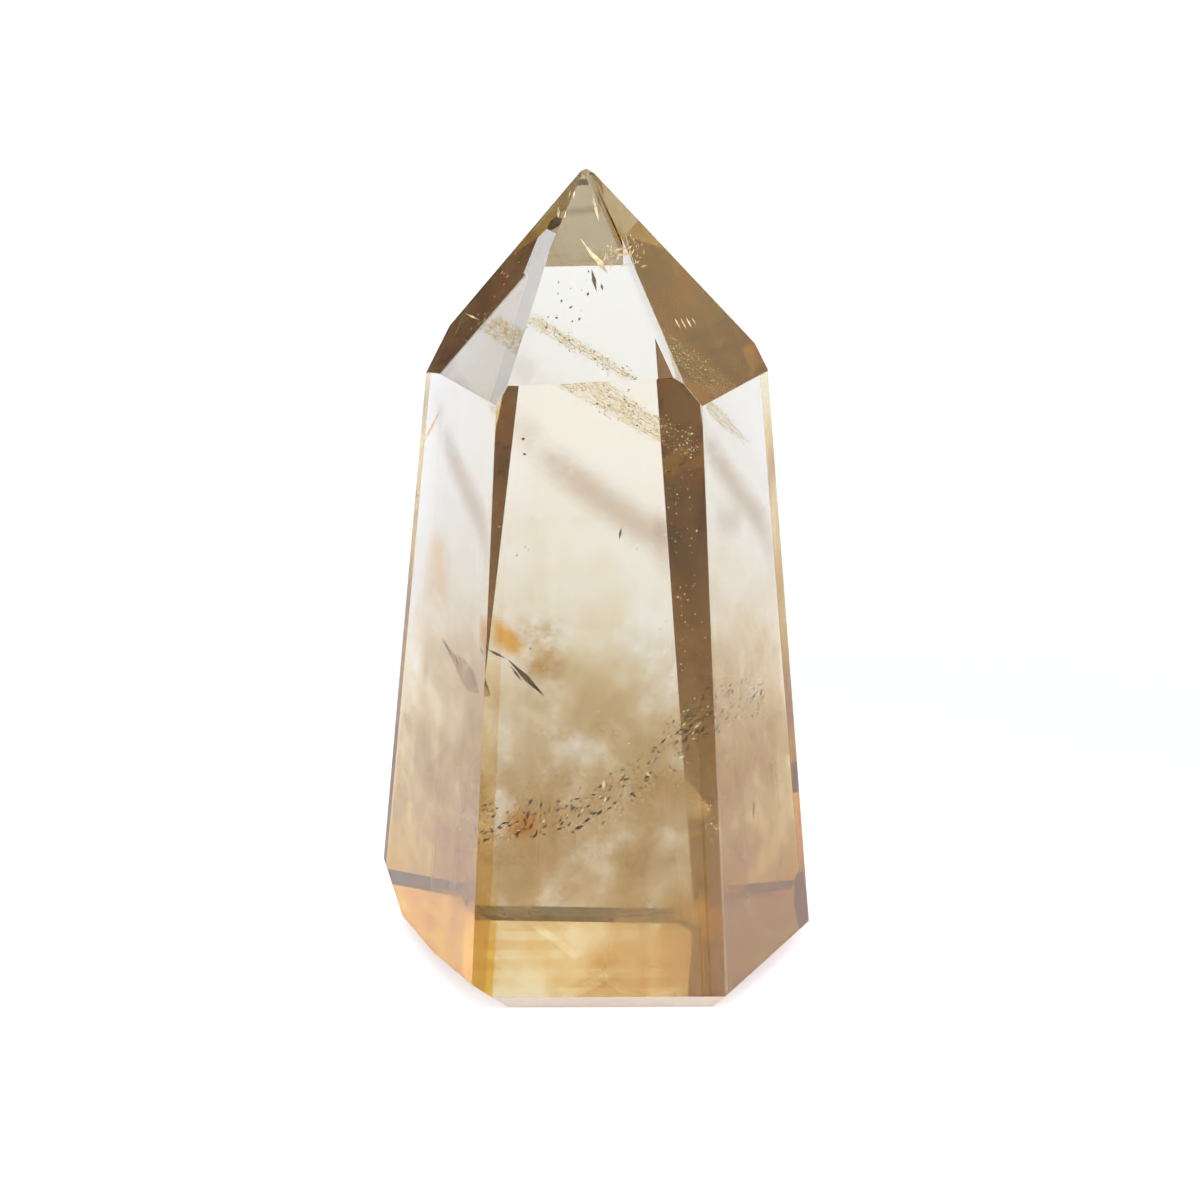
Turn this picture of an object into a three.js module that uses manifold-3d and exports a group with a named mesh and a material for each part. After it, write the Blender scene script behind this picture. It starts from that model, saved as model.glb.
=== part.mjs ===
// A polished citrine point: one clear, six-sided quartz crystal that stands on its ground base.
// Millimetres, +Z up. The origin is on the ground, under the middle of the crystal.

import * as THREE from 'three';
import { mergeVertices } from 'three/addons/utils/BufferGeometryUtils.js';
import ManifoldModule from 'manifold-3d';

// The rough block that the facets are ground from
const BLOCK_WIDTH = 70;
const BLOCK_HEIGHT = 90;

// The six side faces. azimuth is the way a face looks, in degrees from +X towards +Y. lean is how
// far it leans in towards the tip, in degrees. reach is its distance from the axis at GIRTH_HEIGHT.
// bevel is the height of the bevel that is ground around its foot.
const GIRTH_HEIGHT = 20;
const SIDE_FACES = {
  front: { azimuth: -89.5, lean: 4.1, reach: 17.4, bevel: 1.8 },
  front_right: { azimuth: -24.8, lean: 4.0, reach: 18.8, bevel: 1.8 },
  back_right: { azimuth: 35.2, lean: 4.4, reach: 17.4, bevel: 1.8 },
  back: { azimuth: 86.3, lean: 2.1, reach: 17.4, bevel: 0.8 },
  back_left: { azimuth: 141.1, lean: 6.8, reach: 19.7, bevel: 0.8 },
  front_left: { azimuth: 199.8, lean: 3.9, reach: 15.4, bevel: 1.8 },
};

// The faces of the tip. rise is the angle of a face's normal above level, in degrees. peak is the
// height at which the face's plane meets the axis.
const TIP_FACES = {
  front: { azimuth: -91.3, rise: 37.8, peak: 80.4 },
  right: { azimuth: -23.6, rise: 37.7, peak: 80.1 },
  back_right: { azimuth: 30.4, rise: 40.0, peak: 79.1 },
  back: { azimuth: 88.4, rise: 39.3, peak: 81.0 },
  back_left: { azimuth: 150.1, rise: 41.2, peak: 78.8 },
  left_outer: { azimuth: 192.4, rise: 32.4, peak: 79.6 },
  left_inner: { azimuth: 197.7, rise: 29.8, peak: 81.1 },
};

// The very end of the tip is knocked off by a small flat chip.
const TIP_CHIP = { azimuth: -60, rise: 78, peak: 78.9 };

// Slope of the bevel around the foot of the side faces, in degrees
const BEVEL_SLOPE = 45;

// Two places where the foot is ground away further: along the front left face, more towards the
// front, and at the corner between the front left and back left faces.
const FRONT_LEFT_CUT = { azimuth: 208, rise: -51.5, point: [-10.9, -18.7, 3.1] };
const LEFT_CORNER_CUT = { azimuth: 177, rise: -35, point: [-20.55, 8.7, 5.4] };

// Surface of the clear, polished quartz
const CITRINE_COLOUR = 0xd8bb82;
const POLISH_ROUGHNESS = 0.03;

const wasm = await ManifoldModule();
wasm.setup();

function direction(azimuth, rise) {
  const around = THREE.MathUtils.degToRad(azimuth);
  const above = THREE.MathUtils.degToRad(rise);
  const level = Math.cos(above);
  return new THREE.Vector3(level * Math.cos(around), level * Math.sin(around), Math.sin(above));
}

function toSolid(geometry) {
  const bare = geometry.clone();
  bare.deleteAttribute('normal');
  bare.deleteAttribute('uv');
  const welded = mergeVertices(bare);
  const mesh = new wasm.Mesh({
    numProp: 3,
    vertProperties: new Float32Array(welded.attributes.position.array),
    triVerts: new Uint32Array(welded.index.array),
  });
  return new wasm.Manifold(mesh);
}

function toGeometry(solid) {
  const mesh = solid.getMesh();
  const geometry = new THREE.BufferGeometry();
  geometry.setAttribute('position', new THREE.BufferAttribute(new Float32Array(mesh.vertProperties), 3));
  geometry.setIndex(new THREE.BufferAttribute(new Uint32Array(mesh.triVerts), 1));
  return geometry;
}

// Takes away all that lies on the outer side of a plane.
function grind(solid, normal, point) {
  const waste = new THREE.BoxGeometry(4 * BLOCK_WIDTH, 4 * BLOCK_WIDTH, 2 * BLOCK_HEIGHT);
  waste.translate(0, 0, BLOCK_HEIGHT);
  waste.applyQuaternion(new THREE.Quaternion().setFromUnitVectors(new THREE.Vector3(0, 0, 1), normal));
  waste.translate(point.x, point.y, point.z);
  return solid.subtract(toSolid(waste));
}

function grindSide(solid, { azimuth, lean, reach }) {
  const outward = direction(azimuth, 0);
  const point = outward.clone().multiplyScalar(reach);
  point.z = GIRTH_HEIGHT;
  return grind(solid, direction(azimuth, lean), point);
}

function grindTip(solid, { azimuth, rise, peak }) {
  return grind(solid, direction(azimuth, rise), new THREE.Vector3(0, 0, peak));
}

// The bevel starts on a side face at its own height and goes in under the crystal.
function grindBevel(solid, { azimuth, lean, reach, bevel }) {
  const spread = (GIRTH_HEIGHT - bevel) * Math.tan(THREE.MathUtils.degToRad(lean));
  const point = direction(azimuth, 0).multiplyScalar(reach + spread);
  point.z = bevel;
  return grind(solid, direction(azimuth, -BEVEL_SLOPE), point);
}

function grindCut(solid, { azimuth, rise, point }) {
  return grind(solid, direction(azimuth, rise), new THREE.Vector3(...point));
}

function crystalGeometry() {
  const block = new THREE.BoxGeometry(BLOCK_WIDTH, BLOCK_WIDTH, BLOCK_HEIGHT);
  block.translate(0, 0, BLOCK_HEIGHT / 2);
  let solid = toSolid(block);
  for (const face of Object.values(SIDE_FACES)) {
    solid = grindSide(solid, face);
    solid = grindBevel(solid, face);
  }
  for (const face of Object.values(TIP_FACES)) {
    solid = grindTip(solid, face);
  }
  solid = grindTip(solid, TIP_CHIP);
  solid = grindCut(solid, FRONT_LEFT_CUT);
  solid = grindCut(solid, LEFT_CORNER_CUT);

  // The middle of the crystal's box goes over the origin.
  const geometry = toGeometry(solid);
  geometry.computeBoundingBox();
  const middle = geometry.boundingBox.getCenter(new THREE.Vector3());
  geometry.translate(-middle.x, -middle.y, 0);
  const faceted = geometry.toNonIndexed();
  faceted.computeVertexNormals();
  return faceted;
}

const citrine = new THREE.MeshStandardMaterial({
  name: 'citrine',
  color: CITRINE_COLOUR,
  roughness: POLISH_ROUGHNESS,
  metalness: 0,
});

const crystal = new THREE.Mesh(crystalGeometry(), citrine);
crystal.name = 'crystal';

const point = new THREE.Group();
point.name = 'citrine_point';
point.add(crystal);

export default point;
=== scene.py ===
import math
import random

import bpy
from bpy.props import FloatProperty, FloatVectorProperty, PointerProperty
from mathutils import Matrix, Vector


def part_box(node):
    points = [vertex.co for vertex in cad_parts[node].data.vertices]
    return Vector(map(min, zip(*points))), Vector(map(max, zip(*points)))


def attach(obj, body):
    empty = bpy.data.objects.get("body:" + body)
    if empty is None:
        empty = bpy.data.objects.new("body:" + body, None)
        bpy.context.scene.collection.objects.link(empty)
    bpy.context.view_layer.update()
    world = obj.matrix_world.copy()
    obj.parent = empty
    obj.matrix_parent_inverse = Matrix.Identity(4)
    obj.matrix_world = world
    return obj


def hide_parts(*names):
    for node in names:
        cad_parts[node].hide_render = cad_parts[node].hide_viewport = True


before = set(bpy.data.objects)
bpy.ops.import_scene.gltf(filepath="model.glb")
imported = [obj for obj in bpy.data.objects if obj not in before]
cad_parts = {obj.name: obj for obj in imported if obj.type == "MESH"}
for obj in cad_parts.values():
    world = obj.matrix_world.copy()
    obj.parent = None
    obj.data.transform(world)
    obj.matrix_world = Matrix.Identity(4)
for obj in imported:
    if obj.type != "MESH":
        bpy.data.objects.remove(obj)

bl_info = {
    "name": "Citrine Point",
    "version": (1, 0, 0),
    "blender": (4, 5, 0),
    "location": "3D View > Sidebar > Citrine",
    "description": "Builds a clear citrine point with its inclusions, on a white studio floor",
    "category": "Object",
}

MM = 0.001

# Edges that are worn soft: their two ends, and the share of the full rounding
WORN_EDGES = (
    (Vector((-0.8, -0.7, 78.9)) * MM, Vector((7.9, -14.4, 62.2)) * MM, 1.0),
    (Vector((-4.1, -5.9, 72.9)) * MM, Vector((-15.0, 1.2, 58.4)) * MM, 1.0),
    (Vector((16.7, -0.15, 59.1)) * MM, Vector((21.5, 0.7, 1.8)) * MM, 0.4),
)
# Sheets of haze: name, the way a sheet faces in degrees from +X towards +Y, its distance from the
# axis in millimetres, and how much it scatters
HAZE_SHEETS = (
    ("haze_front_1", -90, 11, 0.5),
    ("haze_front_2", -88, 4, 0.45),
    ("haze_back_1", 92, 3, 0.4),
    ("haze_back_2", 90, 10, 0.4),
    ("haze_left_1", 200, 9, 0.3),
    ("haze_left_2", 200, 1, 0.3),
    ("haze_right_1", -25, 11, 0.3),
    ("haze_right_2", -25, 3, 0.3),
)
# Films inside the crystal: name, points along the lower and the upper border in millimetres, what
# they show, and how dense they are
FILMS = (
    (
        "healed_crack",
        ((-8.5, 6.5, 60.5), (-3.3, 6.5, 56.9), (0.6, 6, 54.8), (3.8, 7.4, 52.6), (9.3, 7, 49.5)),
        ((-6, 3, 62.3), (-2.5, -1, 61.3), (1.5, -4, 59.8), (5.7, -5.9, 57.1), (10.1, -7, 55.1)),
        "veil",
        0.8,
    ),
    (
        "shade_arc",
        ((-11.5, 13, 52.5), (-6.5, 13, 47), (-1, 13, 42.3), (4.5, 13, 38.5), (10, 13, 31.5)),
        ((-9, 13, 57), (-3.5, 13, 51.5), (2, 13, 46.8), (7.5, 13, 43), (13, 13, 36)),
        "shade",
        1.0,
    ),
    ("shade_patch", ((5, -3.5, 43), (9, 2.5, 41)), ((5, -3.5, 48), (9, 2.5, 46)), "shade", 0.6),
    (
        "leaf_crack",
        (
            (-13.8, -2.5, 32.8), (-12.5, -6.6, 31.5), (-11.7, -9, 30.4),
            (-11, -11, 30.2), (-9.9, -13.9, 31),
        ),
        (
            (-13.8, -2.5, 32.9), (-12.4, -6.5, 32.5), (-11.4, -9.2, 33),
            (-10.4, -12.2, 32.6), (-9.9, -13.9, 31.2),
        ),
        "leaf",
        0.9,
    ),
    (
        "orange_stain",
        ((-10.4, -13, 35), (-8.5, -13, 34.4), (-6, -13.1, 33.4)),
        ((-10.4, -12.7, 40), (-8, -12.7, 38.4), (-6, -12.9, 35.6)),
        "stain",
        1.0,
    ),
    (
        "smoke",
        ((-8.5, -11.7, 32), (-2, -11.8, 29.5)),
        ((-8.5, -11.3, 39.5), (-2, -11.3, 39.5)),
        "smoke",
        1.0,
    ),
    (
        "orange_glow",
        ((-9, -14.7, 16.4), (-5, -14.7, 16.6)),
        ((-9, -14.5, 20.2), (-5, -14.5, 19.8)),
        "stain",
        1.0,
    ),
    (
        "dark_glow",
        ((-11, -14.8, 16.2), (-7.6, -14.8, 16.6)),
        ((-11, -14.6, 19), (-7.6, -14.6, 18.6)),
        "smoke",
        1.0,
    ),
    (
        "left_cloud",
        ((-22.7, 9.1, -30), (-12.5, -19.1, -30)),
        ((-17.6, 11, 50), (-7.4, -17.3, 50)),
        "tan",
        1.0,
    ),
    (
        "right_cloud",
        ((12.9, -19.7, -30), (23.8, 3.9, -30)),
        ((7.8, -17.3, 50), (18.7, 6.3, 50)),
        "tan",
        1.0,
    ),
    (
        "left_foot",
        ((-21.1, 9.7, -16), (-10.9, -18.6, -16)),
        ((-18.8, 10.5, 20), (-8.6, -17.8, 20)),
        "gold",
        1.0,
    ),
    (
        "right_foot",
        ((11.4, -19, -16), (22.3, 4.6, -16)),
        ((9.1, -17.9, 20), (20, 5.7, 20)),
        "gold",
        1.0,
    ),
    ("foot_mist", ((-4, -18.5, -2), (14, -18.5, -2)), ((-4, -17.2, 14), (14, -17.2, 14)), "mist", 0.6),
    ("corner_mist", ((5, -18.6, -8), (17, -18.6, -8)), ((5, -16.1, 28), (17, -16.1, 28)), "mist", 0.85),
    (
        "golden_patch",
        ((-16.5, 3, 34), (-13.5, -6, 34)),
        ((-15.5, 3.5, 46), (-12.5, -5, 43)),
        "stain",
        0.45,
    ),
)
# Cracks and flakes: what they show, their ends and their width in millimetres
CRACKS = (
    ("cream", (-0.2, -1.4, 76.4), (0.4, -3.1, 74.2), 0.3),
    ("cream", (-1.4, -3.6, 72.7), (1, -5.8, 69.9), 0.35),
    ("cream", (-0.2, -4.5, 71.5), (1.3, -6, 69.7), 0.6),
    ("cream", (-3, -0.4, 75), (-2.8, -2.2, 74.2), 0.5),
    ("cream", (-1.9, -0.9, 76.8), (-2, -1.6, 76.1), 0.2),
    ("cream", (-12.3, 5.2, 63.2), (-10.4, 1, 63.4), 0.25),
    ("cream", (7, -6.4, 65.5), (7.4, -6.6, 64.4), 0.35),
    ("cream", (7.6, -5.6, 65.4), (8, -5.8, 64.2), 0.4),
    ("cream", (8.2, -4.8, 65.3), (8.6, -5, 64.2), 0.35),
    ("cream", (8.8, -4, 65.1), (9.1, -4.2, 64.3), 0.3),
    ("dark", (-0.3, -5.5, 70.2), (0.2, -7.1, 68.3), 0.4),
    ("dark", (0.6, -6.5, 69), (0.8, -7, 68.4), 0.25),
    ("dark", (-10.2, -13.5, 35.6), (-8.4, -13.6, 34.7), 0.3),
    ("dark", (-8.3, -13.6, 34.7), (-4.7, -13.8, 30.9), 0.6),
    ("dark", (-8, -13.6, 34), (-6.9, -13.7, 32.4), 0.25),
    ("dark", (14.7, -8.5, 18.4), (14.7, -8.9, 16.1), 0.4),
    ("dark", (-6.9, -12, 55.9), (-6.5, -12, 55.9), 0.3),
    ("dark", (-6.8, -12.1, 54.5), (-6.4, -12.1, 54.4), 0.25),
    ("dark", (2.5, -12.5, 47.4), (2.3, -12.6, 46.2), 0.25),
    ("dark", (-13.8, -2.5, 32.9), (-12.6, -6, 32), 0.35),
    ("dark", (-12.4, -6.5, 32.4), (-11.9, -8, 31.6), 0.4),
    ("dark", (-11.2, -9.6, 32.9), (-9.9, -13.9, 31.1), 0.25),
    ("golden", (-16.2, 6.2, 49.6), (-13.9, 1, 55.2), 0.6),
)
# Swarms of bubbles: name, lower and upper border, how many, their length and width in millimetres,
# the share of pale ones, and the way they lean
SWARMS = (
    (
        "veil_bubbles",
        ((-8.5, 6.5, 60.5), (-3.3, 6.5, 56.9), (0.6, 6, 54.8), (3.8, 7.4, 52.6), (9.3, 7, 49.5)),
        ((-6, 3, 62.3), (-2.5, -1, 61.3), (1.5, -4, 59.8), (5.7, -5.9, 57.1), (10.1, -7, 55.1)),
        800,
        0.13,
        0.09,
        0.75,
        (0.5, 0, -0.3),
    ),
    (
        "band_bubbles",
        (
            (-13.5, -7.2, 11.6), (-10, -15, 16.5), (-3.3, -15.2, 17.2), (2.5, -15, 20),
            (7.9, -14.7, 24), (10.5, -14, 27.5), (13.5, -8.6, 26.3), (15.6, -4.3, 25.5),
        ),
        (
            (-10.4, -13, 20.5), (-9.5, -15, 20.3), (-3.3, -15, 20.9), (2, -15, 23.5),
            (7.8, -14.3, 29.2), (10.3, -13.8, 32), (13.5, -7.8, 31.4), (15.6, -3.7, 28.9),
        ),
        480,
        0.42,
        0.13,
        0.10,
        (0.75, 0, 0.65),
    ),
    (
        "tip_web",
        ((0.8, -5.4, 69.7), (3.8, -4, 69)),
        ((0.8, -2.8, 73), (3.9, 0.8, 71.7)),
        40,
        0.9,
        0.12,
        1.0,
        (0.3, -0.2, 0.6),
    ),
    (
        "edge_flakes",
        ((10, -16.4, 17.4), (11.8, -16.7, 17.2)),
        ((10, -16.2, 21.4), (11.6, -16.4, 21.4)),
        40,
        0.2,
        0.14,
        1.0,
        (1, 0, 0.2),
    ),
    (
        "window_specks",
        ((-4.5, -8, 65), (0, -8, 65)),
        ((-4.2, -4.8, 69.6), (-1, -4.8, 69.6)),
        16,
        0.22,
        0.14,
        0.0,
        (0.2, 0, 1),
    ),
    (
        "dust_front",
        ((-9, -13, 8), (11, -13, 8)),
        ((-9, -12, 50), (9, -12, 50)),
        160,
        0.12,
        0.08,
        0.5,
        (0.6, 0, 0.5),
    ),
    (
        "dust_right",
        ((12, -12, 12), (17, -2, 12)),
        ((11, -11, 52), (15, -3, 52)),
        90,
        0.12,
        0.08,
        0.4,
        (0.6, 0, 0.5),
    ),
    (
        "dust_band",
        ((8, -8, 22), (12, -8, 22)),
        ((6, -8, 56), (9, -8, 56)),
        80,
        0.13,
        0.09,
        1.0,
        (0.6, 0, 0.5),
    ),
    (
        "dust_left_tip",
        ((-13.5, 2.5, 59.5), (-11.5, -1, 62)),
        ((-7, 3, 70), (-5, 1, 71.5)),
        14,
        0.25,
        0.16,
        1.0,
        (0.6, 0, 0.5),
    ),
)

# Width and height of a sheet of haze before it is trimmed, and the height of its middle
SHEET_SIZE = (48 * MM, 56 * MM)
SHEET_MIDDLE = 20 * MM
# Heights at which the haze begins and is full, the same for its milky part, and the clearer foot
HAZE_TOP, HAZE_FULL = 58 * MM, 8 * MM
MILK_TOP, MILK_FULL = 34 * MM, 16 * MM
FOOT_LOW, FOOT_HIGH = 4 * MM, 10 * MM
# How far the haze's border wanders up and down
HAZE_WANDER = 30 * MM
# How dark the darker cracks and bubbles are beside the lighter ones of their kind
FLECK_SHADE = 0.6
# Share of their kind's colour that the dark bubbles have, which makes them nearly black: painted shade
# standing in for the dark rims that clear bubbles show. Share of the painted highlight glow that the pale
# bubbles have, standing in for their bright highlights.
DARK_BUBBLE_SHARE = 0.4
PALE_BUBBLE_GLINT = 0.5
# Distances from the crystal's axis over which the floor's light changes, and its ends front and back.
# These changes are painted light and shade on the floor: a painted shadow under the crystal, a painted
# pool of light close to it, and a painted falloff to the left.
UNDER_SHADOW_EDGE = (15 * MM, 24 * MM)
NEAR_POOL_EDGE = (45 * MM, 85 * MM)
LEFT_FALLOFF_EDGE = (-300 * MM, -140 * MM)
FLOOR_FRONT, FLOOR_BACK = -80 * MM, 180 * MM
# The level directions in which the soft panels stand
BACK_PANEL = (0.64, 0.77)
SIDE_PANEL = (-0.38, 0.92)
FILL_PANEL = (-0.71, -0.71)
FRONT_PANEL = (0.0, -1.0)
# The floor's light is mixed as a share of this many times its strength, because a share stops at 1.
FLOOR_SPAN = 2.5

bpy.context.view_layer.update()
CRYSTAL_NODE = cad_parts["crystal"]
CRYSTAL_LOW, CRYSTAL_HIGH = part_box("crystal")


class Wire:
    """A node's output socket. Arithmetic on it adds Math nodes."""

    def __init__(self, nodes, socket):
        self.nodes = nodes
        self.socket = socket

    def maths(self, operation, first, second):
        return self.nodes.node("ShaderNodeMath", {"operation": operation}, {0: first, 1: second})

    def __add__(self, other):
        return self.maths("ADD", self, other)

    def __radd__(self, other):
        return self.maths("ADD", other, self)

    def __sub__(self, other):
        return self.maths("SUBTRACT", self, other)

    def __rsub__(self, other):
        return self.maths("SUBTRACT", other, self)

    def __mul__(self, other):
        return self.maths("MULTIPLY", self, other)

    def __rmul__(self, other):
        return self.maths("MULTIPLY", other, self)


class Nodes:
    """A fresh node tree of a material or a world."""

    def __init__(self, owner):
        owner.use_nodes = True
        self.tree = owner.node_tree
        self.tree.nodes.clear()

    def node(self, kind, settings=None, inputs=None, output=0):
        """Adds a node with its settings, then fills its sockets with values or wires."""
        made = self.tree.nodes.new(kind)
        for name, value in (settings or {}).items():
            if name == "stops":
                self.set_stops(made.color_ramp, value)
            else:
                setattr(made, name, value)
        for name, value in (inputs or {}).items():
            if isinstance(value, Wire):
                self.tree.links.new(value.socket, made.inputs[name])
            else:
                made.inputs[name].default_value = value
        if not made.outputs:
            return made
        return Wire(self, made.outputs[output])

    def ramp(self, value, low, high, start, end):
        """Eases from start to end while a value goes from low to high."""
        sockets = {"Value": value, "From Min": low, "From Max": high, "To Min": start, "To Max": end}
        return self.node("ShaderNodeMapRange", {"interpolation_type": "SMOOTHSTEP"}, sockets)

    def set_stops(self, ramp, stops):
        while len(ramp.elements) > 1:
            ramp.elements.remove(ramp.elements[-1])
        ramp.elements[0].position, ramp.elements[0].color = stops[0]
        for place, colour in stops[1:]:
            ramp.elements.new(place).color = colour


def facet_planes(node):
    """The planes of a CAD node's flat faces, as pairs of a point and an outward normal."""
    planes = []
    for face in node.data.polygons:
        known = any(
            face.normal.dot(normal) > 0.9999 and abs((face.center - point).dot(normal)) < 0.02 * MM
            for point, normal in planes
        )
        if not known:
            planes.append((face.center.copy(), face.normal.copy()))
    return planes


def cut_block(name, planes):
    """Cuts a closed block along planes, starting from one larger than the crystal."""
    bpy.ops.object.select_all(action="DESELECT")
    bpy.ops.mesh.primitive_cube_add(size=1, location=(CRYSTAL_LOW + CRYSTAL_HIGH) / 2)
    piece = bpy.context.object
    piece.name = name
    piece.dimensions = (CRYSTAL_HIGH - CRYSTAL_LOW) * 1.2
    bpy.ops.object.transform_apply(location=True, rotation=True, scale=True)
    bpy.ops.object.mode_set(mode="EDIT")
    for point, normal in planes:
        bpy.ops.mesh.select_all(action="SELECT")
        bpy.ops.mesh.bisect(
            plane_co=point, plane_no=normal, use_fill=True, clear_outer=True, threshold=0.001 * MM
        )
    bpy.ops.mesh.select_all(action="SELECT")
    bpy.ops.mesh.remove_doubles(threshold=0.01 * MM)
    bpy.ops.mesh.normals_make_consistent(inside=False)
    bpy.ops.object.mode_set(mode="OBJECT")
    return piece


def inside_planes(margin):
    """The facet planes moved into the crystal by a margin."""
    return [(point - normal * margin, normal) for point, normal in facet_planes(CRYSTAL_NODE)]


def trim_inside(piece, margin):
    """Cuts away what reaches out of the crystal, up to a margin under its faces."""
    activate(piece)
    bpy.ops.object.mode_set(mode="EDIT")
    for point, normal in inside_planes(margin):
        bpy.ops.mesh.select_all(action="SELECT")
        bpy.ops.mesh.bisect(plane_co=point, plane_no=normal, clear_outer=True, threshold=0.001 * MM)
    bpy.ops.object.mode_set(mode="OBJECT")


def select_edge(piece, ends):
    """Selects the edge of a piece in edit mode whose ends lie near two points."""
    bpy.ops.mesh.select_all(action="DESELECT")
    bpy.ops.object.mode_set(mode="OBJECT")
    corners = piece.data.vertices

    def miss(edge):
        first, second = (corners[index].co for index in edge.vertices)
        straight = (first - ends[0]).length + (second - ends[1]).length
        return min(straight, (first - ends[1]).length + (second - ends[0]).length)

    found = min(piece.data.edges, key=miss)
    if miss(found) > 3 * MM:
        raise ValueError(f"no edge near {ends}")
    found.select = True
    bpy.ops.object.mode_set(mode="EDIT")


def activate(piece):
    bpy.ops.object.select_all(action="DESELECT")
    piece.select_set(True)
    bpy.context.view_layer.objects.active = piece


def clear_quartz(settings):
    """Polished quartz: plain transmission, with a warm absorption that deepens along the path."""
    material = bpy.data.materials.new("clear_quartz")
    nodes = Nodes(material)
    surface = nodes.node(
        "ShaderNodeBsdfPrincipled",
        {},
        {
            "Base Color": (1, 1, 1, 1),
            "Roughness": 0.0,
            "IOR": settings.refraction,
            "Transmission Weight": 1.0,
        },
    )
    body = nodes.node(
        "ShaderNodeVolumeAbsorption",
        {},
        {"Color": (*settings.body_colour, 1), "Density": settings.body_density},
    )
    nodes.node("ShaderNodeOutputMaterial", {}, {"Surface": surface, "Volume": body})
    return material


def frosted_quartz(settings):
    """The ground front bevel of the foot: the same quartz with a pale, dull surface."""
    material = bpy.data.materials.new("frosted_quartz")
    nodes = Nodes(material)
    surface = nodes.node(
        "ShaderNodeBsdfPrincipled",
        {},
        {
            "Base Color": (1, 1, 1, 1),
            "Roughness": 0.3,
            "IOR": settings.refraction,
            "Transmission Weight": 1.0,
        },
    )
    matt = nodes.node(
        "ShaderNodeBsdfPrincipled",
        {},
        {"Base Color": (*settings.frost_colour, 1), "Roughness": 1.0, "Specular IOR Level": 0.0},
    )
    skin = nodes.node("ShaderNodeMixShader", {}, {0: settings.ground_frost, 1: surface, 2: matt})
    body = nodes.node(
        "ShaderNodeVolumeAbsorption",
        {},
        {"Color": (*settings.body_colour, 1), "Density": settings.body_density},
    )
    nodes.node("ShaderNodeOutputMaterial", {}, {"Surface": skin, "Volume": body})
    return material


def haze_film(name, settings, density):
    """A sheet of smoky haze that tints and scatters the light, denser towards the foot."""
    material = bpy.data.materials.new(name)
    nodes = Nodes(material)
    place = nodes.node("ShaderNodeTexCoord", {}, {}, output=3)
    height = nodes.node("ShaderNodeSeparateXYZ", {}, {0: place}, output=2)
    drawn = nodes.node("ShaderNodeVectorMath", {"operation": "MULTIPLY"}, {0: place, 1: (1.0, 0.35, 1.0)})
    clouds = nodes.node(
        "ShaderNodeTexNoise", {}, {"Vector": drawn, "Scale": 120.0, "Detail": 5.0, "Roughness": 0.55}
    )
    stain = nodes.node(
        "ShaderNodeTexNoise", {}, {"Vector": drawn, "Scale": 70.0, "Detail": 2.0, "Roughness": 0.5}
    )
    patches = nodes.node(
        "ShaderNodeTexNoise", {}, {"Vector": drawn, "Scale": 55.0, "Detail": 3.0, "Roughness": 0.5}
    )
    uneven = height + HAZE_WANDER * (patches - 0.5)
    fade = nodes.ramp(uneven, HAZE_TOP, HAZE_FULL, 0.0, 1.0)
    foot = nodes.ramp(height, FOOT_LOW, FOOT_HIGH, 0.15, 1.0)
    milk = density * foot * nodes.ramp(uneven, MILK_TOP, MILK_FULL, 0.15, 1.0)
    shape = fade * nodes.ramp(clouds, 0.40, 0.58, 0.16, 1.0)
    for point, normal in facet_planes(CRYSTAL_NODE):
        if abs(normal.z) < 0.2:
            reach = 3 * MM if abs(normal.y) > 0.8 else 1.5 * MM
            depth = nodes.node(
                "ShaderNodeVectorMath", {"operation": "DOT_PRODUCT"}, {0: place, 1: normal}, output=1
            )
            shape = shape * nodes.ramp(point.dot(normal) - depth, 0.4 * MM, reach, 0.0, 1.0)
    gold_share = nodes.ramp(stain, 0.45, 0.65, 0.0, 1.0)
    tan = nodes.node("ShaderNodeBsdfTranslucent", {}, {"Color": (*settings.haze_colour, 1)})
    gold = nodes.node("ShaderNodeBsdfTranslucent", {}, {"Color": (*settings.stain_colour, 1)})
    glow = nodes.node("ShaderNodeMixShader", {}, {0: gold_share, 1: tan, 2: gold})
    matt = nodes.node(
        "ShaderNodeBsdfPrincipled",
        {},
        {"Base Color": (*settings.haze_colour, 1), "Roughness": 1.0, "Specular IOR Level": 0.0},
    )
    cloud = nodes.node("ShaderNodeMixShader", {}, {0: 0.4, 1: glow, 2: matt})
    clear = nodes.node("ShaderNodeBsdfTransparent", {}, {"Color": (1, 1, 1, 1)})
    smoky = nodes.node("ShaderNodeBsdfTransparent", {}, {"Color": (*settings.tint_colour, 1)})
    golden = nodes.node("ShaderNodeBsdfTransparent", {}, {"Color": (*settings.gold_tint, 1)})
    tint = nodes.node("ShaderNodeMixShader", {}, {0: foot, 1: golden, 2: smoky})
    tinted = nodes.node("ShaderNodeMixShader", {}, {0: shape, 1: clear, 2: tint})
    film = nodes.node("ShaderNodeMixShader", {}, {0: milk * shape, 1: tinted, 2: cloud})
    nodes.node("ShaderNodeOutputMaterial", {}, {"Surface": film})
    return material


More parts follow.
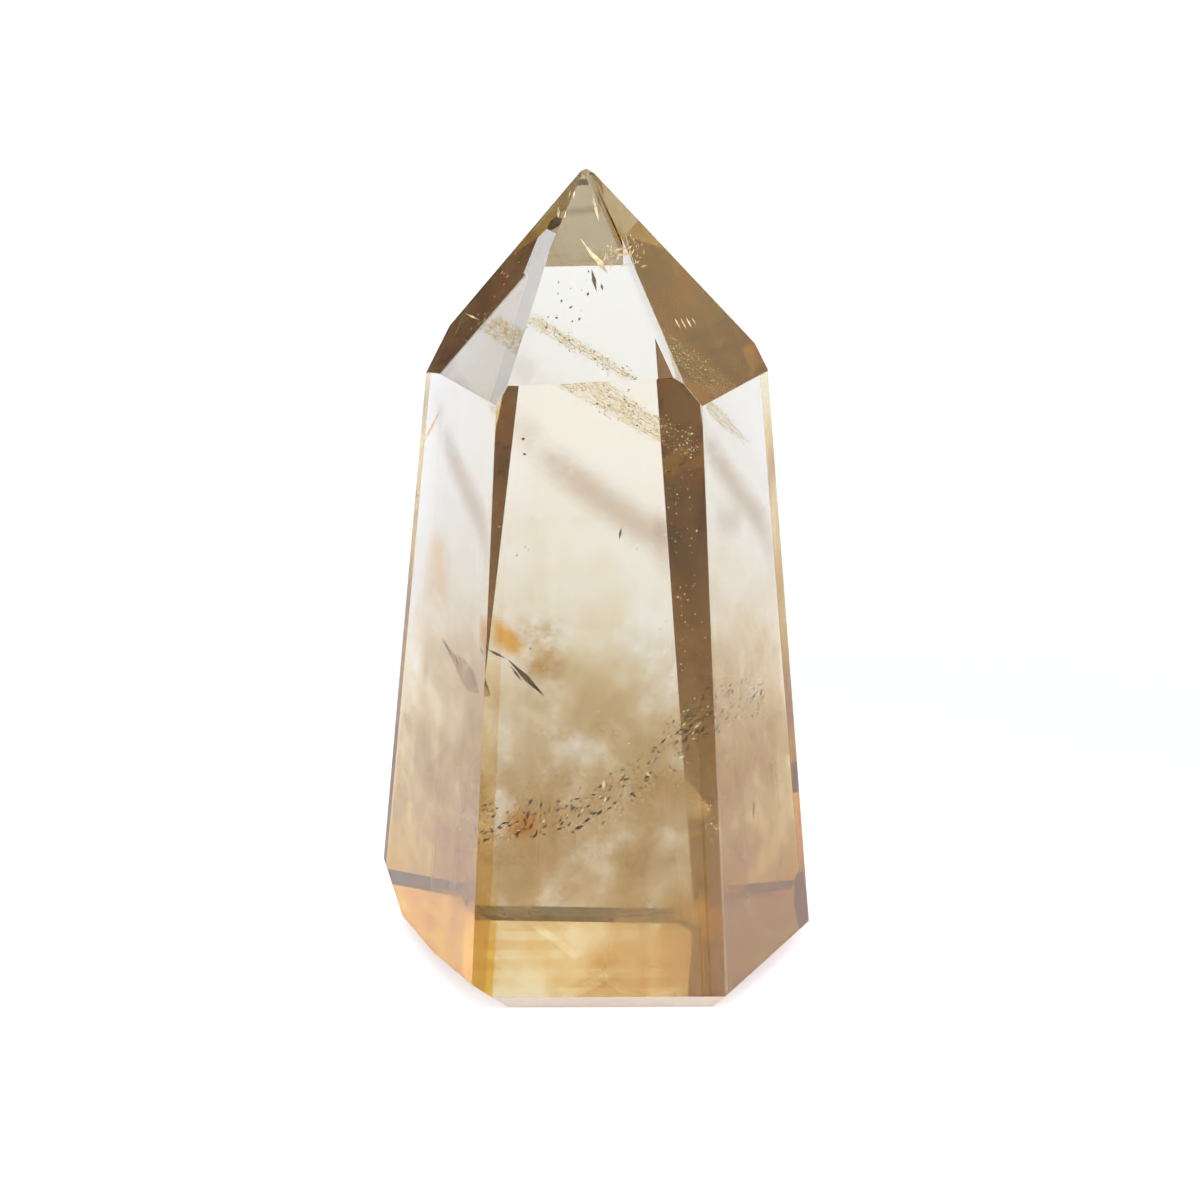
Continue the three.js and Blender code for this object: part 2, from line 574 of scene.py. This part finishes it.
def film_material(name, settings, kind, density):
    """A film inside the crystal: its colour, its grain and its soft borders depend on its kind."""
    colour, grain, low, high, ends, sides, scatter = {
        "veil": (settings.tan_colour, 900.0, 0.35, 0.65, 0.12, 0.15, 0.35),
        "shade": (settings.shade_colour, 120.0, 0.20, 0.50, 0.30, 0.48, 0.0),
        "leaf": (settings.smoke_colour, 600.0, 0.20, 0.50, 0.04, 0.06, 0.2),
        "stain": (settings.orange_colour, 350.0, 0.22, 0.58, 0.36, 0.36, 0.2),
        "tan": (settings.tan_colour, 110.0, 0.15, 0.50, 0.02, 0.45, 0.1),
        "gold": (settings.foot_gold, 110.0, 0.05, 0.40, 0.02, 0.45, 0.05),
        "mist": (settings.haze_colour, 110.0, 0.15, 0.50, 0.40, 0.35, 0.6),
        "smoke": (settings.smoke_colour, 420.0, 0.32, 0.68, 0.35, 0.35, 0.0),
    }[kind]
    material = bpy.data.materials.new(name)
    nodes = Nodes(material)
    place = nodes.node("ShaderNodeTexCoord", {}, {}, output=3)
    sheet = nodes.node("ShaderNodeTexCoord", {}, {}, output=2)
    along = nodes.node("ShaderNodeSeparateXYZ", {}, {0: sheet}, output=0)
    across = nodes.node("ShaderNodeSeparateXYZ", {}, {0: sheet}, output=1)
    noise = nodes.node(
        "ShaderNodeTexNoise", {}, {"Vector": place, "Scale": grain, "Detail": 4.0, "Roughness": 0.6}
    )
    border = nodes.ramp(along, 0.0, ends, 0.0, 1.0) * nodes.ramp(along, 1 - ends, 1.0, 1.0, 0.0)
    border = border * nodes.ramp(across, 0.0, sides, 0.0, 1.0)
    border = border * nodes.ramp(across, 1 - sides, 1.0, 1.0, 0.0)
    cover = density * border * nodes.ramp(noise, low, high, 0.15, 1.0)
    through = nodes.node("ShaderNodeBsdfTranslucent", {}, {"Color": (*colour, 1)})
    tint = nodes.node("ShaderNodeBsdfTransparent", {}, {"Color": (*colour, 1)})
    matt = nodes.node(
        "ShaderNodeBsdfPrincipled",
        {},
        {"Base Color": (*colour, 1), "Roughness": 1.0, "Specular IOR Level": 0.0},
    )
    soft = nodes.node("ShaderNodeMixShader", {}, {0: 0.5, 1: through, 2: matt})
    stuff = nodes.node("ShaderNodeMixShader", {}, {0: scatter, 1: tint, 2: soft})
    clear = nodes.node("ShaderNodeBsdfTransparent", {}, {"Color": (1, 1, 1, 1)})
    film = nodes.node("ShaderNodeMixShader", {}, {0: cover, 1: clear, 2: stuff})
    nodes.node("ShaderNodeOutputMaterial", {}, {"Surface": film})
    return material


def fleck_material(name, colour, painted_glint):
    """Cracks and bubbles, lighter and darker at random from one to the next. Their emission is a painted
    highlight: the flecks glow in their own colour, standing in for light that they would throw back.
    """
    material = bpy.data.materials.new(name)
    nodes = Nodes(material)
    place = nodes.node("ShaderNodeTexCoord", {}, {}, output=3)
    noise = nodes.node("ShaderNodeTexNoise", {}, {"Vector": place, "Scale": 1500.0, "Detail": 2.0})
    tone = nodes.ramp(noise, 0.35, 0.65, 0.0, 1.0)
    tones = []
    for share in (FLECK_SHADE, 1.0):
        shade = (*[share * part for part in colour], 1)
        through = nodes.node("ShaderNodeBsdfTranslucent", {}, {"Color": shade})
        # The emission is a painted highlight, not a lamp
        front = nodes.node(
            "ShaderNodeBsdfPrincipled",
            {},
            {"Base Color": shade, "Roughness": 0.4, "Emission Color": shade, "Emission Strength": painted_glint},
        )
        tones.append(nodes.node("ShaderNodeMixShader", {}, {0: 0.5, 1: front, 2: through}))
    fleck = nodes.node("ShaderNodeMixShader", {}, {0: tone, 1: tones[0], 2: tones[1]})
    nodes.node("ShaderNodeOutputMaterial", {}, {"Surface": fleck})
    material.cycles.emission_sampling = "NONE"
    return material


def spot_between(lower, upper, along, across):
    """A place between two borders, by the shares along and across, in metres."""
    reach = along * (len(lower) - 1)
    first = min(int(reach), len(lower) - 2)
    low = Vector(lower[first]).lerp(Vector(lower[first + 1]), reach - first)
    high = Vector(upper[first]).lerp(Vector(upper[first + 1]), reach - first)
    return low.lerp(high, across) * MM


def add_sheet(name, lower, upper):
    """A fine grid spread between two borders, with the shares along and across as its UV map."""
    columns, rows = 40, 16
    spots = [
        spot_between(lower, upper, column / columns, row / rows)
        for column in range(columns + 1)
        for row in range(rows + 1)
    ]
    step = rows + 1
    faces = [
        (corner, corner + step, corner + step + 1, corner + 1)
        for corner in range(columns * step)
        if corner % step < rows
    ]
    mesh = bpy.data.meshes.new(name)
    mesh.from_pydata(spots, [], faces)
    layer = mesh.uv_layers.new(name="UVMap")
    for loop in mesh.loops:
        column, row = divmod(loop.vertex_index, step)
        layer.data[loop.index].uv = (column / columns, row / rows)
    piece = bpy.data.objects.new(name, mesh)
    bpy.context.collection.objects.link(piece)
    return piece


def add_flecks(name, flecks):
    """Joins slim double pyramids, each given by its middle, half its length and half its width."""
    spots = []
    faces = []
    for middle, long_half, side_half, thin_half in flecks:
        first = len(spots)
        spots += [middle + long_half, middle - long_half, middle + side_half]
        spots += [middle - side_half, middle + thin_half, middle - thin_half]
        for end in (0, 1):
            for side in (2, 3):
                for thin in (4, 5):
                    flip = (end + side + thin) % 2
                    corners = (end, side, thin) if flip else (end, thin, side)
                    faces.append(tuple(first + corner for corner in corners))
    mesh = bpy.data.meshes.new(name)
    mesh.from_pydata(spots, [], faces)
    piece = bpy.data.objects.new(name, mesh)
    bpy.context.collection.objects.link(piece)
    activate(piece)
    bpy.ops.object.mode_set(mode="EDIT")
    bpy.ops.mesh.select_all(action="SELECT")
    bpy.ops.mesh.normals_make_consistent(inside=False)
    bpy.ops.object.mode_set(mode="OBJECT")
    return piece


def fleck(middle, along, length, width):
    """Half the length, width and thickness of a fleck that lies along a direction, in metres."""
    long_half = along.normalized() * (length / 2)
    side = along.cross(Vector((0, 1, 0)))
    if side.length < 1e-6:
        side = Vector((0, 0, 1))
    side_half = side.normalized() * (width / 2)
    thin_half = long_half.cross(side_half).normalized() * (width / 4)
    return middle, long_half, side_half, thin_half


class CitrineCrystalSettings(bpy.types.PropertyGroup):
    edge_rounding: FloatProperty(
        name="Edge rounding",
        description="Width of the polished rounding on the crystal's edges",
        default=0.15 * MM,
        unit="LENGTH",
    )
    worn_rounding: FloatProperty(
        name="Worn rounding",
        description="Width of the rounding on the edges that are worn soft",
        default=2.6 * MM,
        unit="LENGTH",
    )
    ground_frost: FloatProperty(
        name="Ground frost",
        description="How dull the front bevel of the foot is",
        default=0.7,
    )
    frost_colour: FloatVectorProperty(
        name="Frost colour",
        description="Colour of the front bevel of the foot",
        subtype="COLOR",
        size=3,
        default=(0.78, 0.69, 0.60),
    )
    haze_colour: FloatVectorProperty(
        name="Haze colour",
        description="Colour of the smoky haze",
        subtype="COLOR",
        size=3,
        default=(1.0, 0.83, 0.52),
    )
    stain_colour: FloatVectorProperty(
        name="Stain colour",
        description="Colour of the golden stains in the haze",
        subtype="COLOR",
        size=3,
        default=(0.98, 0.68, 0.28),
    )
    cream_colour: FloatVectorProperty(
        name="Cream colour",
        description="Colour of the healed cracks and the pale bubbles",
        subtype="COLOR",
        size=3,
        default=(1.0, 0.88, 0.62),
    )
    # Painted highlight: strength of the emission glow on the pale and golden cracks and the pale bubbles,
    # standing in for light that they would throw back
    painted_glint: FloatProperty(
        name="Glint",
        description="Light that the pale cracks and bubbles throw back",
        default=0.9,
    )
    dark_colour: FloatVectorProperty(
        name="Dark colour",
        description="Colour of the dark cracks and bubbles",
        subtype="COLOR",
        size=3,
        default=(0.42, 0.27, 0.12),
    )
    shade_colour: FloatVectorProperty(
        name="Shade colour",
        description="Colour of the soft shades in the upper part",
        subtype="COLOR",
        size=3,
        default=(0.74, 0.65, 0.58),
    )
    smoke_colour: FloatVectorProperty(
        name="Smoke colour",
        description="Colour of the brown clouds",
        subtype="COLOR",
        size=3,
        default=(0.72, 0.52, 0.28),
    )
    tan_colour: FloatVectorProperty(
        name="Tan colour",
        description="Colour of the tan clouds under the side faces",
        subtype="COLOR",
        size=3,
        default=(0.90, 0.72, 0.36),
    )
    foot_gold: FloatVectorProperty(
        name="Foot gold",
        description="Colour of the golden films at the foot of the side faces",
        subtype="COLOR",
        size=3,
        default=(0.93, 0.76, 0.14),
    )
    orange_colour: FloatVectorProperty(
        name="Orange colour",
        description="Colour of the orange stains",
        subtype="COLOR",
        size=3,
        default=(1.0, 0.60, 0.16),
    )
    gold_tint: FloatVectorProperty(
        name="Gold tint",
        description="Colour of the light that passes a sheet of haze near the foot",
        subtype="COLOR",
        size=3,
        default=(0.97, 0.87, 0.70),
    )
    tint_colour: FloatVectorProperty(
        name="Tint colour",
        description="Colour of the light that passes a sheet of haze",
        subtype="COLOR",
        size=3,
        default=(0.98, 0.925, 0.82),
    )
    refraction: FloatProperty(
        name="Refraction",
        description="Index of refraction of quartz",
        default=1.548,
    )
    body_colour: FloatVectorProperty(
        name="Body colour",
        description="Colour that the crystal lets through",
        subtype="COLOR",
        size=3,
        default=(0.56, 0.475, 0.12),
    )
    body_density: FloatProperty(
        name="Body density",
        description="How strongly the colour deepens, per metre",
        default=15.0,
    )


class CitrineStageSettings(bpy.types.PropertyGroup):
    floor_gap: FloatProperty(
        name="Floor gap",
        description="The thin film of air between the foot and the floor",
        default=0.05 * MM,
        unit="LENGTH",
    )
    floor_light: FloatProperty(
        name="Floor light",
        description="Strength of the floor's own light",
        default=0.57,
    )
    # Painted pool of light on the floor close to the crystal
    painted_near_pool: FloatProperty(
        name="Near light",
        description="Share of that light close to the crystal",
        default=1.5,
    )
    # Painted shadow on the floor under the crystal
    painted_under_shadow: FloatProperty(
        name="Under light",
        description="Share of that light under the crystal",
        default=0.7,
    )
    back_light: FloatProperty(
        name="Back light",
        description="Brightness of the low soft panel behind",
        default=1.4,
    )
    fill_light: FloatProperty(
        name="Fill light",
        description="Brightness of the low soft panel in front, on the left",
        default=1.6,
    )
    front_light: FloatProperty(
        name="Front light",
        description="Brightness of the high soft panel above the camera",
        default=2.2,
    )
    side_light: FloatProperty(
        name="Side light",
        description="Brightness of the low soft panel behind, on the left",
        default=0.5,
    )
    top_light: FloatProperty(
        name="Top light",
        description="Brightness of the soft light overhead",
        default=0.8,
    )
    horizon_light: FloatProperty(
        name="Horizon light",
        description="Brightness of the room just above the floor",
        default=0.18,
    )
    room_light: FloatProperty(
        name="Room light",
        description="Brightness of the dim room around",
        default=0.03,
    )
    lamp_colour: FloatVectorProperty(
        name="Lamp colour",
        description="Colour of the soft panels",
        subtype="COLOR",
        size=3,
        default=(1.0, 0.985, 0.90),
    )
    panel_colour: FloatVectorProperty(
        name="Panel colour",
        description="Warm colour of the low soft panel behind",
        subtype="COLOR",
        size=3,
        default=(1.0, 0.86, 0.55),
    )
    foot_colour: FloatVectorProperty(
        name="Foot colour",
        description="Colour of the floor's light beside the crystal",
        subtype="COLOR",
        size=3,
        default=(0.83, 0.81, 0.91),
    )
    # Painted light: a bluish pool in the floor's light close behind the crystal
    near_pool_colour: FloatVectorProperty(
        name="Near colour",
        description="Colour of the floor's light close behind the crystal",
        subtype="COLOR",
        size=3,
        default=(0.66, 0.73, 1.0),
    )
    floor_colour: FloatVectorProperty(
        name="Floor colour",
        description="Colour of the floor's light",
        subtype="COLOR",
        size=3,
        default=(0.84, 0.81, 0.96),
    )
    black_point: FloatProperty(
        name="Black point",
        description="Light level that prints as black",
        default=0.012,
    )
    camera_place: FloatVectorProperty(
        name="Camera place",
        description="Where the camera stands",
        subtype="XYZ",
        unit="LENGTH",
        size=3,
        default=(0.5 * MM, -420.1 * MM, 173.3 * MM),
    )
    camera_tilt: FloatProperty(
        name="Camera tilt",
        description="How far the camera looks down",
        subtype="ANGLE",
        default=math.radians(18.12),
    )
    camera_lens: FloatProperty(
        name="Lens",
        description="Focal length in millimetres on a 36 mm sensor",
        default=135.63,
    )


class CITRINE_OT_crystal(bpy.types.Operator):
    """Cuts the crystal from a block along the facets, and rounds its edges"""

    bl_idname = "citrine.crystal"
    bl_label = "Crystal"

    def execute(self, context):
        settings = context.scene.citrine_crystal
        piece = cut_block("clear_crystal", facet_planes(CRYSTAL_NODE))
        bpy.ops.object.mode_set(mode="EDIT")
        bpy.ops.mesh.select_all(action="SELECT")
        bpy.ops.transform.edge_bevelweight(value=settings.edge_rounding / settings.worn_rounding)
        for start, end, share in WORN_EDGES:
            select_edge(piece, (start, end))
            bpy.ops.transform.edge_bevelweight(value=-1.0)
            bpy.ops.transform.edge_bevelweight(value=share)
        bpy.ops.object.mode_set(mode="OBJECT")
        rounding = piece.modifiers.new("rounding", "BEVEL")
        rounding.width = settings.worn_rounding
        rounding.segments = 10
        rounding.limit_method = "WEIGHT"
        rounding.harden_normals = True
        bpy.ops.object.shade_smooth()
        bpy.ops.object.modifier_apply(modifier="rounding")
        piece.data.materials.append(clear_quartz(settings))
        piece.data.materials.append(frosted_quartz(settings))
        for face in piece.data.polygons:
            looks_down_in_front = -0.9 < face.normal.z < -0.3 and face.normal.y < -0.6
            if looks_down_in_front:
                face.material_index = 1
        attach(piece, "root")
        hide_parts("crystal")
        return {"FINISHED"}


class CITRINE_OT_haze(bpy.types.Operator):
    """Adds the sheets of smoky golden haze in the lower part of the crystal"""

    bl_idname = "citrine.haze"
    bl_label = "Haze"

    def execute(self, context):
        settings = context.scene.citrine_crystal
        for name, azimuth, distance, density in HAZE_SHEETS:
            turn = math.radians(azimuth)
            bpy.ops.object.select_all(action="DESELECT")
            bpy.ops.mesh.primitive_grid_add(x_subdivisions=12, y_subdivisions=14, size=1)
            piece = context.object
            piece.name = name
            piece.scale = (*SHEET_SIZE, 1)
            piece.rotation_euler = (math.pi / 2, 0, turn + math.pi / 2)
            reach = distance * MM
            piece.location = (reach * math.cos(turn), reach * math.sin(turn), SHEET_MIDDLE)
            bpy.ops.object.transform_apply(location=True, rotation=True, scale=True)
            trim_inside(piece, 0.5 * MM)
            bpy.ops.object.shade_smooth()
            piece.data.materials.append(haze_film(name, settings, density))
            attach(piece, "root")
        return {"FINISHED"}


class CITRINE_OT_films(bpy.types.Operator):
    """Adds the films: a healed crack, a leaf-shaped crack, shades, stains and clouds"""

    bl_idname = "citrine.films"
    bl_label = "Films"

    def execute(self, context):
        settings = context.scene.citrine_crystal
        for name, lower, upper, kind, density in FILMS:
            piece = add_sheet(name, lower, upper)
            trim_inside(piece, 0.15 * MM)
            bpy.ops.object.shade_smooth()
            piece.data.materials.append(film_material(name, settings, kind, density))
            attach(piece, "root")
        return {"FINISHED"}


class CITRINE_OT_cracks(bpy.types.Operator):
    """Adds the slim cracks and flakes"""

    bl_idname = "citrine.cracks"
    bl_label = "Cracks"

    def execute(self, context):
        settings = context.scene.citrine_crystal
        colours = {
            "cream": settings.cream_colour,
            "dark": settings.dark_colour,
            "golden": settings.stain_colour,
        }
        for stuff, colour in colours.items():
            flecks = []
            for kind, start, end, width in CRACKS:
                if kind == stuff:
                    start, end = Vector(start) * MM, Vector(end) * MM
                    flecks.append(fleck((start + end) / 2, end - start, (end - start).length, width * MM))
            piece = add_flecks(stuff + "_cracks", flecks)
            # Painted highlight: the cream and golden cracks glow, the dark ones do not
            painted_glint = 0.0 if stuff == "dark" else settings.painted_glint
            piece.data.materials.append(fleck_material(piece.name, colour, painted_glint))
            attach(piece, "root")
        return {"FINISHED"}


class CITRINE_OT_bubbles(bpy.types.Operator):
    """Adds the swarms of pale and dark bubbles"""

    bl_idname = "citrine.bubbles"
    bl_label = "Bubbles"

    def execute(self, context):
        settings = context.scene.citrine_crystal
        pick = random.Random(5)
        pale, dark = [], []
        planes = inside_planes(0.3 * MM)
        for _, lower, upper, count, length, width, pale_share, lean in SWARMS:
            for _ in range(count):
                middle = spot_between(lower, upper, pick.betavariate(1.2, 1.1), pick.betavariate(1.4, 1.4))
                middle += Vector([pick.gauss(0, 0.3) for _ in range(3)]) * MM
                along = Vector(lean).normalized() + Vector([pick.gauss(0, 0.35) for _ in range(3)])
                size = pick.lognormvariate(0, 0.4) * MM
                swarm = pale if pick.random() < pale_share else dark
                if all((middle - point).dot(normal) < 0 for point, normal in planes):
                    swarm.append(fleck(middle, along, length * size, width * size))
        # Pale bubbles carry a painted highlight (cream with an emission glow) and dark bubbles painted
        # shade (nearly black), standing in for the bright centres and dark rims of clear bubbles
        for name, swarm, colour, painted_glint in (
            ("pale_bubbles", pale, settings.cream_colour, PALE_BUBBLE_GLINT * settings.painted_glint),
            ("dark_bubbles", dark, [DARK_BUBBLE_SHARE * part for part in settings.dark_colour], 0.0),
        ):
            piece = add_flecks(name, swarm)
            piece.data.materials.append(fleck_material(name, colour, painted_glint))
            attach(piece, "root")
        return {"FINISHED"}


class CITRINE_OT_stage(bpy.types.Operator):
    """Adds the white floor, the soft light and the camera"""

    bl_idname = "citrine.stage"
    bl_label = "Stage"

    def execute(self, context):
        settings = context.scene.citrine_stage
        scene = context.scene
        bpy.ops.object.select_all(action="DESELECT")
        bpy.ops.mesh.primitive_plane_add(size=4, location=(0, 0, -settings.floor_gap))
        floor = context.object
        floor.name = "floor"
        material = bpy.data.materials.new("white_floor")
        nodes = Nodes(material)
        place = nodes.node("ShaderNodeTexCoord", {}, {}, output=3)
        away = nodes.node("ShaderNodeVectorMath", {"operation": "LENGTH"}, {0: place}, output=1)
        side = nodes.node("ShaderNodeSeparateXYZ", {}, {0: place}, output=0)
        depth = nodes.node("ShaderNodeSeparateXYZ", {}, {0: place}, output=1)
        # Painted light and shade in the floor's own light: dimmer to the left, a painted pool of light
        # close to the crystal, and a painted shadow under it
        painted_floor_light = nodes.ramp(side, *LEFT_FALLOFF_EDGE, 0.2, 1.0)
        painted_floor_light = painted_floor_light * nodes.ramp(away, *NEAR_POOL_EDGE, settings.painted_near_pool, 1.0)
        painted_floor_light = painted_floor_light * nodes.ramp(away, *UNDER_SHADOW_EDGE, settings.painted_under_shadow, 1.0)
        reach = nodes.node(
            "ShaderNodeMapRange", {}, {"Value": depth, "From Min": FLOOR_FRONT, "From Max": FLOOR_BACK}
        )
        # The floor's light turns bluish close behind the crystal: a painted pool of light
        hue = nodes.node(
            "ShaderNodeValToRGB",
            {
                "stops": (
                    (0.0, (*settings.lamp_colour, 1)),
                    (0.36, (*settings.foot_colour, 1)),
                    (0.52, (*settings.near_pool_colour, 1)),
                    (0.65, (*settings.near_pool_colour, 1)),
                    (0.9, (*settings.floor_colour, 1)),
                )
            },
            {0: reach},
        )
        light = nodes.node(
            "ShaderNodeMix",
            {"data_type": "RGBA"},
            {0: painted_floor_light * (1 / FLOOR_SPAN), 6: (0, 0, 0, 1), 7: hue},
            output=2,
        )
        paint = nodes.node(
            "ShaderNodeBsdfPrincipled",
            {},
            {
                "Base Color": (0.86, 0.89, 0.96, 1),
                "Roughness": 0.9,
                "Specular IOR Level": 0.1,
                "Emission Color": light,
                "Emission Strength": FLOOR_SPAN * settings.floor_light,
            },
        )
        nodes.node("ShaderNodeOutputMaterial", {}, {"Surface": paint})
        floor.data.materials.append(material)

        world = bpy.data.worlds.new("studio")
        scene.world = world
        nodes = Nodes(world)
        sky = nodes.node("ShaderNodeTexCoord")
        side = nodes.node("ShaderNodeSeparateXYZ", {}, {0: sky}, output=0)
        depth = nodes.node("ShaderNodeSeparateXYZ", {}, {0: sky}, output=1)
        height = nodes.node("ShaderNodeSeparateXYZ", {}, {0: sky}, output=2)
        low = nodes.ramp(height, 0.22, 0.30, 0.0, 1.0) * nodes.ramp(height, 0.52, 0.62, 1.0, 0.0)
        high = nodes.ramp(height, 0.52, 0.62, 0.0, 1.0) * nodes.ramp(height, 0.90, 0.97, 1.0, 0.0)

        def towards(panel):
            return panel[0] * side + panel[1] * depth

        behind = low * nodes.ramp(towards(BACK_PANEL), 0.55, 0.80, 0.0, 1.0)
        back = settings.back_light * behind
        fill = low * nodes.ramp(towards(FILL_PANEL), 0.65, 0.85, 0.0, settings.fill_light)
        front = high * nodes.ramp(towards(FRONT_PANEL), 0.18, 0.42, 0.0, settings.front_light)
        side_back = low * nodes.ramp(towards(SIDE_PANEL), 0.45, 0.75, 0.0, settings.side_light)
        top = nodes.ramp(height, 0.88, 0.96, 0.0, settings.top_light)
        horizon = nodes.ramp(height, 0.1, 0.25, settings.horizon_light, 0.0)
        strength = settings.room_light + horizon + back + side_back + fill + front + top
        warmth = nodes.node(
            "ShaderNodeMix",
            {"data_type": "RGBA"},
            {0: behind, 6: (*settings.lamp_colour, 1), 7: (*settings.panel_colour, 1)},
            output=2,
        )
        glow = nodes.node("ShaderNodeBackground", {}, {"Color": warmth, "Strength": strength})
        nodes.node("ShaderNodeOutputWorld", {}, {"Surface": glow})

        bpy.ops.object.camera_add(location=settings.camera_place)
        camera = context.object
        camera.rotation_euler = (math.pi / 2 - settings.camera_tilt, 0, 0)
        camera.data.lens = settings.camera_lens
        camera.data.sensor_width = 36
        camera.data.clip_start = 0.01
        scene.camera = camera

        scene.view_settings.view_transform = "Standard"
        scene.view_settings.use_curve_mapping = True
        scene.view_settings.curve_mapping.black_level = (settings.black_point,) * 3
        scene.view_settings.curve_mapping.update()
        material.cycles.emission_sampling = "NONE"
        world.cycles.sampling_method = "NONE"
        scene.cycles.denoising_input_passes = "RGB_ALBEDO"
        scene.cycles.max_bounces = 24
        scene.cycles.transmission_bounces = 32
        scene.cycles.glossy_bounces = 32
        scene.cycles.diffuse_bounces = 4
        scene.cycles.transparent_max_bounces = 32
        return {"FINISHED"}


class CITRINE_PT_panel(bpy.types.Panel):
    """Lists the pieces of the citrine point"""

    bl_idname = "CITRINE_PT_panel"
    bl_label = "Citrine Point"
    bl_space_type = "VIEW_3D"
    bl_region_type = "UI"
    bl_category = "Citrine"

    def draw(self, context):
        for operator in OPERATORS:
            self.layout.operator(operator.bl_idname)


OPERATORS = (
    CITRINE_OT_crystal,
    CITRINE_OT_haze,
    CITRINE_OT_films,
    CITRINE_OT_cracks,
    CITRINE_OT_bubbles,
    CITRINE_OT_stage,
)
CLASSES = (CitrineCrystalSettings, CitrineStageSettings, *OPERATORS, CITRINE_PT_panel)


def register():
    for cls in CLASSES:
        bpy.utils.register_class(cls)
    bpy.types.Scene.citrine_crystal = PointerProperty(type=CitrineCrystalSettings)
    bpy.types.Scene.citrine_stage = PointerProperty(type=CitrineStageSettings)


def unregister():
    del bpy.types.Scene.citrine_stage
    del bpy.types.Scene.citrine_crystal
    for cls in reversed(CLASSES):
        bpy.utils.unregister_class(cls)


def main():
    register()
    bpy.ops.citrine.crystal()
    bpy.ops.citrine.haze()
    bpy.ops.citrine.films()
    bpy.ops.citrine.cracks()
    bpy.ops.citrine.bubbles()
    bpy.ops.citrine.stage()


if __name__ == "__main__":
    main()
